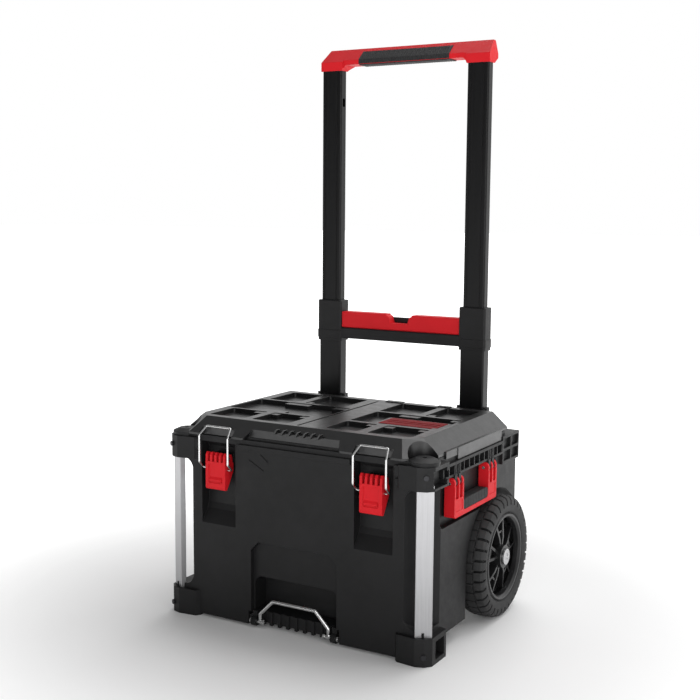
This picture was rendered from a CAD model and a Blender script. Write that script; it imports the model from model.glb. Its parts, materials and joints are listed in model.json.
# A wheeled black case with a lid, latches, side and top handles, and crossbars.
# The CAD pieces load in place, in metres with +Z up, above a floor at z = 0.
# The camera looks from the -Y side, turned toward +X.
import json
import math

import bpy
import bmesh
from mathutils import Matrix, Vector


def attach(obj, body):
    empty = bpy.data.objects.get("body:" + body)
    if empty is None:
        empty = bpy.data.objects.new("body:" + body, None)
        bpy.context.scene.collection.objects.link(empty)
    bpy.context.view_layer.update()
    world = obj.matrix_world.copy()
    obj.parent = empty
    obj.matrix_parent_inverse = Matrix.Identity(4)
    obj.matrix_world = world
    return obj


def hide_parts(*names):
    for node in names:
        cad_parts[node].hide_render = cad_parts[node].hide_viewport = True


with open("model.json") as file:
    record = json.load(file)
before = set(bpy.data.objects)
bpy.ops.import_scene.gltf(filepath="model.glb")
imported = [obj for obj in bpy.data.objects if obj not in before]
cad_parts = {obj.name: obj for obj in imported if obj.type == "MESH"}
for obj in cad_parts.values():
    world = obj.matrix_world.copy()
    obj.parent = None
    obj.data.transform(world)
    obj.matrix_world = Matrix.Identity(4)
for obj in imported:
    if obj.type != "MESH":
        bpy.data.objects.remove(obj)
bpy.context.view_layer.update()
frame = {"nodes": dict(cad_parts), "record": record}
NODES = frame["nodes"]
RECORD = frame["record"]
BODY_OF = {node: body for body, nodes in RECORD["behaviour"]["bodies"].items() for node in nodes}
SLOT_OF = {part["node"]: part["material_slot"] for part in RECORD["subparts"]}
MM = 0.001


# ------------------------------------------------------------------ shader helpers
NOISE_SPAN = (0.3, 0.7)  # range that holds most values of a noise texture


def feed(tree, socket, value):
    """Links an output socket to the input, or sets the input to a plain value."""
    if isinstance(value, bpy.types.NodeSocket):
        tree.links.new(value, socket)
    else:
        socket.default_value = value


def add_node(tree, kind, inputs=None, **settings):
    node = tree.nodes.new(kind)
    for name, value in settings.items():
        setattr(node, name, value)
    for key, value in (inputs or {}).items():
        feed(tree, node.inputs[key], value)
    return node


def map_range(tree, value, source, target, **settings):
    inputs = {"Value": value, "From Min": source[0], "From Max": source[1],
              "To Min": target[0], "To Max": target[1]}
    return add_node(tree, "ShaderNodeMapRange", inputs, **settings).outputs[0]


def scaled(color, factor):
    return tuple(channel * factor for channel in color)


class Shader:
    """A node material around one principled shader; its methods return output sockets."""

    def __init__(self, name):
        self.material = bpy.data.materials.new(name)
        self.material.use_nodes = True
        self.tree = self.material.node_tree
        self.tree.nodes.clear()
        output = self.add("ShaderNodeOutputMaterial")
        self.principled = self.add("ShaderNodeBsdfPrincipled")
        self.tree.links.new(self.principled.outputs[0], output.inputs[0])
        self.coords = self.add("ShaderNodeTexCoord").outputs["Object"]

    def add(self, kind, inputs=None, **settings):
        return add_node(self.tree, kind, inputs, **settings)

    def mapping(self, scale, rotation=(0, 0, 0)):
        inputs = {"Scale": scale, "Rotation": rotation, "Vector": self.coords}
        return self.add("ShaderNodeMapping", inputs).outputs[0]

    def noise(self, scale, detail, roughness=0.5, vector=None):
        inputs = {"Scale": scale, "Detail": detail, "Roughness": roughness,
                  "Vector": vector or self.coords}
        return self.add("ShaderNodeTexNoise", inputs).outputs["Fac"]

    def voronoi(self, scale):
        inputs = {"Scale": scale, "Vector": self.coords}
        return self.add("ShaderNodeTexVoronoi", inputs).outputs["Distance"]

    def ramp(self, value, source=NOISE_SPAN, target=(0.0, 1.0), **settings):
        return map_range(self.tree, value, source, target, **settings)

    def math(self, operation, first, second, clamp=False):
        return self.add("ShaderNodeMath", {0: first, 1: second},
                        operation=operation, use_clamp=clamp).outputs[0]

    def mix(self, factor, first, second):
        """Blends two colours, each a socket or an RGB tuple."""
        colors = [(*c, 1.0) if isinstance(c, tuple) else c for c in (first, second)]
        return self.add("ShaderNodeMix", {0: factor, 6: colors[0], 7: colors[1]},
                        data_type="RGBA").outputs[2]

    def bump(self, height, strength, distance, normal):
        inputs = {"Strength": strength, "Distance": distance, "Height": height,
                  "Normal": normal}
        return self.add("ShaderNodeBump", inputs).outputs[0]

    def rounded_normal(self, radius):
        return self.add("ShaderNodeBevel", {"Radius": radius}, samples=4).outputs[0]

    def edge_mask(self, rounded):
        """0 on flat faces, 1 where the rounded normal leaves the true one."""
        normal = self.add("ShaderNodeNewGeometry").outputs["Normal"]
        agreement = self.add("ShaderNodeVectorMath", {0: rounded, 1: normal},
                             operation="DOT_PRODUCT").outputs["Value"]
        return self.ramp(self.math("SUBTRACT", 1.0, agreement, clamp=True), source=(0.02, 0.25))

    def finish(self, inputs):
        for name, value in inputs.items():
            feed(self.tree, self.principled.inputs[name], value)
        return self.material


# ------------------------------------------------------------------ materials
def plastic(name, base, rough, grain=1400.0, grain_depth=0.00003, wear=(0.09, 0.09, 0.095),
            variation=0.18, specular=0.45):
    """Moulded plastic: fine grain, faint colour variation, rubbed edges."""
    s = Shader(name)
    cloud = s.noise(scale=9.0, detail=4.0, roughness=0.6)
    patch = s.noise(scale=55.0, detail=3.0, roughness=0.65)
    fine = s.noise(scale=grain, detail=2.0, roughness=0.6)
    cells = s.voronoi(scale=grain * 0.8)
    color = s.mix(s.ramp(cloud), scaled(base, 1 - variation), scaled(base, 1 + variation))

    # edges are rubbed only in patches, but smoother all along
    rounded = s.rounded_normal(radius=0.0009)
    edges = s.edge_mask(rounded)
    rubbed = s.math("MULTIPLY", edges, s.ramp(patch, source=(0.42, 0.62)), clamp=True)
    wear_amount = 0.35
    color = s.mix(s.math("MULTIPLY", rubbed, wear_amount), color, wear)
    roughness = s.math("ADD", s.ramp(patch, target=(rough - 0.05, rough + 0.05)),
                       s.ramp(fine, target=(-0.04, 0.04)))
    edge_polish = 0.10
    roughness = s.math("SUBTRACT", roughness, s.math("MULTIPLY", edges, edge_polish), clamp=True)

    cell_share = 0.8
    height = s.math("ADD", fine, s.math("MULTIPLY", cells, cell_share))
    normal = s.bump(height, strength=0.55, distance=grain_depth, normal=rounded)
    return s.finish({"Base Color": color, "Roughness": roughness,
                     "Specular IOR Level": specular, "Normal": normal})


def rubber(name, base, rough, grain=900.0):
    """Matt rubber with patches of dust and paler edges."""
    s = Shader(name)
    cloud = s.noise(scale=20.0, detail=4.0, roughness=0.6)
    fine = s.noise(scale=grain, detail=3.0, roughness=0.7)
    dust = s.noise(scale=70.0, detail=5.0, roughness=0.7)
    rounded = s.rounded_normal(radius=0.0012)
    edges = s.edge_mask(rounded)
    dust_amount, dust_color = 0.25, (0.085, 0.08, 0.075)
    edge_amount, edge_color = 0.25, (0.075, 0.075, 0.078)
    color = s.mix(s.ramp(cloud), scaled(base, 0.75), scaled(base, 1.25))
    dusty = s.math("MULTIPLY", s.ramp(dust, source=(0.52, 0.75)), dust_amount)
    color = s.mix(dusty, color, dust_color)
    color = s.mix(s.math("MULTIPLY", edges, edge_amount), color, edge_color)
    normal = s.bump(fine, strength=0.5, distance=0.00006, normal=rounded)
    roughness = s.ramp(dust, target=(rough - 0.06, rough + 0.08))
    return s.finish({"Base Color": color, "Roughness": roughness,
                     "Specular IOR Level": 0.35, "Normal": normal})


def metal(name, base, rough, along, metallic=1.0, anisotropic=0.4, scratch=0.25, specular=0.5):
    """Metal with fine lines, stretched by `along` on each axis, and small scratches."""
    s = Shader(name)
    stretched = s.mapping(scale=tuple(1.0 / stretch for stretch in along))
    lines = s.noise(scale=700.0, detail=3.0, roughness=0.6, vector=stretched)
    cloud = s.noise(scale=14.0, detail=3.0, roughness=0.6)
    slanted = s.mapping(scale=(1, 1, 0.05), rotation=(0.5, 0.3, 0.0))
    scratches = s.noise(scale=260.0, detail=4.0, roughness=0.8, vector=slanted)
    rounded = s.rounded_normal(radius=0.0007)
    color = s.mix(s.ramp(lines), scaled(base, 0.82), base)
    cloud_amount = 0.15
    clouded = s.math("MULTIPLY", s.ramp(cloud, source=(0.4, 0.7)), cloud_amount)
    color = s.mix(clouded, color, scaled(base, 1.15))
    # scratches shine: they take away roughness
    roughness = s.math("ADD", s.ramp(lines, target=(rough - 0.06, rough + 0.06)),
                       s.math("MULTIPLY", s.ramp(scratches, source=(0.62, 0.72)),
                              -scratch * 0.3), clamp=True)
    normal = s.bump(lines, strength=0.5, distance=0.000012, normal=rounded)
    return s.finish({"Base Color": color, "Roughness": roughness, "Metallic": metallic,
                     "Anisotropic": anisotropic, "Normal": normal,
                     "Specular IOR Level": specular})


PLASTICS = {
    "body_black": dict(base=(0.0098, 0.0098, 0.0103), rough=0.50, wear=(0.036, 0.036, 0.038),
                       specular=0.22),
    "lid_black": dict(base=(0.0065, 0.0065, 0.0069), rough=0.36, grain=1200.0,
                      wear=(0.036, 0.036, 0.038), grain_depth=0.000006, specular=0.6),
    "tray_black": dict(base=(0.010, 0.010, 0.0107), rough=0.5, wear=(0.045, 0.045, 0.048),
                       specular=0.3),
    "rim_black": dict(base=(0.010, 0.010, 0.0107), rough=0.36, grain=1800.0,
                      wear=(0.05, 0.05, 0.053)),
    "nylon_grey": dict(base=(0.05, 0.05, 0.053), rough=0.5, grain=1600.0),
    "red_plastic": dict(base=(0.58, 0.011, 0.017), rough=0.50, grain=1500.0,
                        wear=(0.60, 0.06, 0.065), variation=0.06, grain_depth=0.000022,
                        specular=0.14),
    "strip_red": dict(base=(0.20, 0.006, 0.009), rough=0.60, specular=0.08,
                      wear=(0.30, 0.03, 0.03), variation=0.1),
}
RUBBERS = {
    "gasket_rubber": dict(base=(0.012, 0.012, 0.0125), rough=0.7),
    "grip_rubber": dict(base=(0.015, 0.015, 0.016), rough=0.66),
    "tyre_rubber": dict(base=(0.019, 0.019, 0.0195), rough=0.66, grain=600.0),
}
METALS = {
    "corner_alu": dict(base=(0.44, 0.44, 0.45), rough=0.42, along=(1, 1, 80), scratch=0.2),
    "tube_black": dict(base=(0.0048, 0.0048, 0.0052), rough=0.36, along=(1, 1, 90),
                       metallic=0.1, specular=0.2),
    "wire_steel": dict(base=(0.62, 0.62, 0.62), rough=0.24, along=(20, 20, 20),
                       anisotropic=0.0),
    "steel": dict(base=(0.55, 0.55, 0.56), rough=0.3, along=(40, 1, 1)),
    "screw_black": dict(base=(0.03, 0.03, 0.033), rough=0.4, along=(1, 1, 1), metallic=0.7),
}
MATERIALS = {name: make(name, **values)
             for make, table in ((plastic, PLASTICS), (rubber, RUBBERS), (metal, METALS))
             for name, values in table.items()}


# ------------------------------------------------------------------ refined pieces
MERGE_DISTANCE = 2e-6
DEGENERATE_LENGTH = 1e-6
FLAT_ANGLE = math.radians(0.6)    # faces closer than this in angle are merged
BEVEL_ANGLE = math.radians(28.0)  # edges sharper than this are rounded
SHARP_ANGLE = math.radians(40)    # edges sharper than this are shaded sharp
# allowed change in surface area, as a share of the CAD piece's area
CLEANED_LIMIT = 1e-4
BEVELLED_RANGE = (-0.04, 0.004)

# node: width of its rounded edges, in millimetres
EDGE_WIDTHS = {
    "lid": 0.7, "latch_lever_right": 0.5, "latch_lever_left": 0.5,
    "side_handle_right": 0.8, "side_handle_left": 0.8, "release_bar": 0.9,
    "top_handle_front": 0.9, "top_handle_rear": 0.9, "crossbar_front": 0.8, "crossbar_rear": 0.8,
    "wheel_tyre_right": 0.9, "wheel_tyre_left": 0.9, "wheel_rim_right": 0.8, "wheel_rim_left": 0.8,
    "corner_bar_right": 0.6, "corner_bar_left": 0.6,
}


def paint(mesh, node):
    mesh.materials.clear()
    mesh.materials.append(MATERIALS[SLOT_OF[node]])


def add_object(name, data):
    obj = bpy.data.objects.new(name, data)
    bpy.context.scene.collection.objects.link(obj)
    return obj


def surface_area(mesh):
    mesh.calc_loop_triangles()
    return sum(triangle.area for triangle in mesh.loop_triangles)


def clean_faces(mesh):
    """Welds doubled points and merges coplanar faces."""
    bm = bmesh.new()
    bm.from_mesh(mesh)
    bmesh.ops.remove_doubles(bm, verts=bm.verts, dist=MERGE_DISTANCE)
    bmesh.ops.dissolve_degenerate(bm, edges=bm.edges, dist=DEGENERATE_LENGTH)
    bmesh.ops.dissolve_limit(bm, angle_limit=FLAT_ANGLE, verts=bm.verts, edges=bm.edges,
                             use_dissolve_boundaries=False)
    bm.to_mesh(mesh)
    bm.free()


def smooth_by_angle(mesh):
    bm = bmesh.new()
    bm.from_mesh(mesh)
    for face in bm.faces:
        face.smooth = True
    for edge in bm.edges:
        edge.smooth = len(edge.link_faces) == 2 and edge.calc_face_angle(0.0) <= SHARP_ANGLE
    bm.to_mesh(mesh)
    bm.free()


def add_modifiers(obj, width):
    bevel = obj.modifiers.new("edges", "BEVEL")
    bevel.width = width
    bevel.segments = 2
    bevel.limit_method = "ANGLE"
    bevel.angle_limit = BEVEL_ANGLE
    bevel.use_clamp_overlap = True
    bevel.miter_outer = "MITER_ARC"
    obj.modifiers.new("normals", "WEIGHTED_NORMAL").keep_sharp = True


def keeps_surface(obj, cad_area):
    """True when neither the cleaning nor the bevel has changed the area too much."""
    cleaned = surface_area(obj.data) / cad_area - 1.0
    bpy.context.view_layer.update()
    evaluated = obj.evaluated_get(bpy.context.evaluated_depsgraph_get())
    bevelled = surface_area(evaluated.to_mesh()) / cad_area - 1.0
    evaluated.to_mesh_clear()
    return abs(cleaned) < CLEANED_LIMIT and BEVELLED_RANGE[0] < bevelled < BEVELLED_RANGE[1]


def refine(node, width):
    """Replaces a CAD piece by a clean copy with rounded edges, if its surface still agrees."""
    source = NODES[node]
    cad_area = surface_area(source.data)
    mesh = source.data.copy()
    mesh.name = node + "_skin"
    obj = add_object(mesh.name, mesh)
    obj.matrix_world = source.matrix_world.copy()
    clean_faces(mesh)
    paint(mesh, node)
    if "custom_normal" in mesh.attributes:
        mesh.attributes.remove(mesh.attributes["custom_normal"])
    smooth_by_angle(mesh)
    add_modifiers(obj, width)
    if not keeps_surface(obj, cad_area):
        bpy.data.objects.remove(obj, do_unlink=True)
        bpy.data.meshes.remove(mesh)
        return
    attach(obj, BODY_OF[node])
    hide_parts(node)


for node, obj in NODES.items():
    paint(obj.data, node)
for node, width in EDGE_WIDTHS.items():
    refine(node, width * MM)


# ------------------------------------------------------------------ floor
FLOOR_HALF = 30.0
FLOOR_FADE = (0.45, 1.5)  # distances from the origin where the white glow starts and is full


def floor_material():
    """Pale floor that fades to glowing white away from the case."""
    s = Shader("floor_pale")
    color = s.mix(s.noise(scale=3.0, detail=3.0), (0.86, 0.86, 0.86), (0.90, 0.90, 0.90))
    position = s.add("ShaderNodeNewGeometry").outputs["Position"]
    distance = s.add("ShaderNodeVectorMath", {0: position}, operation="LENGTH").outputs["Value"]
    glow = s.ramp(distance, source=FLOOR_FADE, interpolation_type="SMOOTHSTEP")
    return s.finish({"Base Color": color, "Roughness": 0.6, "Specular IOR Level": 0.2,
                     "Emission Color": (1.0, 1.0, 1.0, 1.0), "Emission Strength": glow})


floor_mesh = bpy.data.meshes.new("floor")
floor_corners = [(x * FLOOR_HALF, y * FLOOR_HALF, 0)
                 for x, y in ((-1, -1), (1, -1), (1, 1), (-1, 1))]
floor_mesh.from_pydata(floor_corners, [], [(0, 1, 2, 3)])
floor = add_object("floor", floor_mesh)
floor_mesh.materials.append(floor_material())


# ------------------------------------------------------------------ world and lights
DOME_BRIGHT_SIDE = (0.45, 0.88, 0.12)  # mostly +Y, turned toward +X
DOME_SPAN = (-0.45, 0.85)              # dot products where the dome is darkest and brightest
DOME_STRENGTH = (0.17, 1.20)

# name, place, target, side of the square in metres, power in watts
LIGHTS = [
    ("key", (1.5, -2.9, 1.0), (0, 0, 0.4), 1.6, 38),
    ("side", (2.8, 0.8, 1.7), (0, 0, 0.4), 1.6, 5),
    ("top", (0.2, 1.3, 3.0), (0, 0, 0.3), 2.2, 40),
]


def build_world():
    """A soft dome lights the case, while the camera sees plain white."""
    world = bpy.data.worlds.new("studio")
    bpy.context.scene.world = world
    world.use_nodes = True
    tree = world.node_tree
    direction = add_node(tree, "ShaderNodeTexCoord").outputs["Generated"]
    facing = add_node(tree, "ShaderNodeVectorMath", {0: direction, 1: DOME_BRIGHT_SIDE},
                      operation="DOT_PRODUCT").outputs["Value"]
    dome = map_range(tree, facing, DOME_SPAN, DOME_STRENGTH, interpolation_type="SMOOTHSTEP")
    seen = add_node(tree, "ShaderNodeLightPath").outputs["Is Camera Ray"]
    backdrop = 1.0
    strength = add_node(tree, "ShaderNodeMix", {0: seen, 2: dome, 3: backdrop},
                        data_type="FLOAT").outputs[0]
    background = tree.nodes["Background"]
    feed(tree, background.inputs["Color"], (1, 1, 1, 1))
    feed(tree, background.inputs["Strength"], strength)


def add_light(name, place, target, size, power):
    data = bpy.data.lights.new(name, "AREA")
    data.shape = "RECTANGLE"
    data.size = size
    data.size_y = size
    data.energy = power
    light = add_object(name, data)
    light.location = place
    aim = Vector(target) - Vector(place)
    light.rotation_euler = aim.to_track_quat("-Z", "Y").to_euler()


build_world()
for light_values in LIGHTS:
    add_light(*light_values)


# ------------------------------------------------------------------ camera
AZIMUTH = math.radians(30.27)  # from -Y toward +X
ELEVATION = math.radians(7.21)
ROLL = math.radians(0.41)
CAMERA_PIVOT = Vector((-0.0720, 0.0916, 0.4807))
CAMERA_DISTANCE = 2.3003


def add_camera():
    data = bpy.data.cameras.new("camera")
    camera = add_object("camera", data)
    back = Vector((math.sin(AZIMUTH) * math.cos(ELEVATION),
                   -math.cos(AZIMUTH) * math.cos(ELEVATION), math.sin(ELEVATION)))
    level = Vector((math.cos(AZIMUTH), math.sin(AZIMUTH), 0))
    upright = back.cross(level)
    right = math.cos(ROLL) * level + math.sin(ROLL) * upright
    up = -math.sin(ROLL) * level + math.cos(ROLL) * upright
    pose = Matrix((right, up, back)).transposed().to_4x4()
    pose.translation = CAMERA_PIVOT + back * CAMERA_DISTANCE
    camera.matrix_world = pose
    data.sensor_width = 36.0
    data.lens = 58.932
    data.shift_x = 0.00785714
    data.shift_y = 0.00214286
    data.clip_end = 100
    bpy.context.scene.camera = camera


add_camera()
bpy.context.scene.view_settings.view_transform = "Standard"
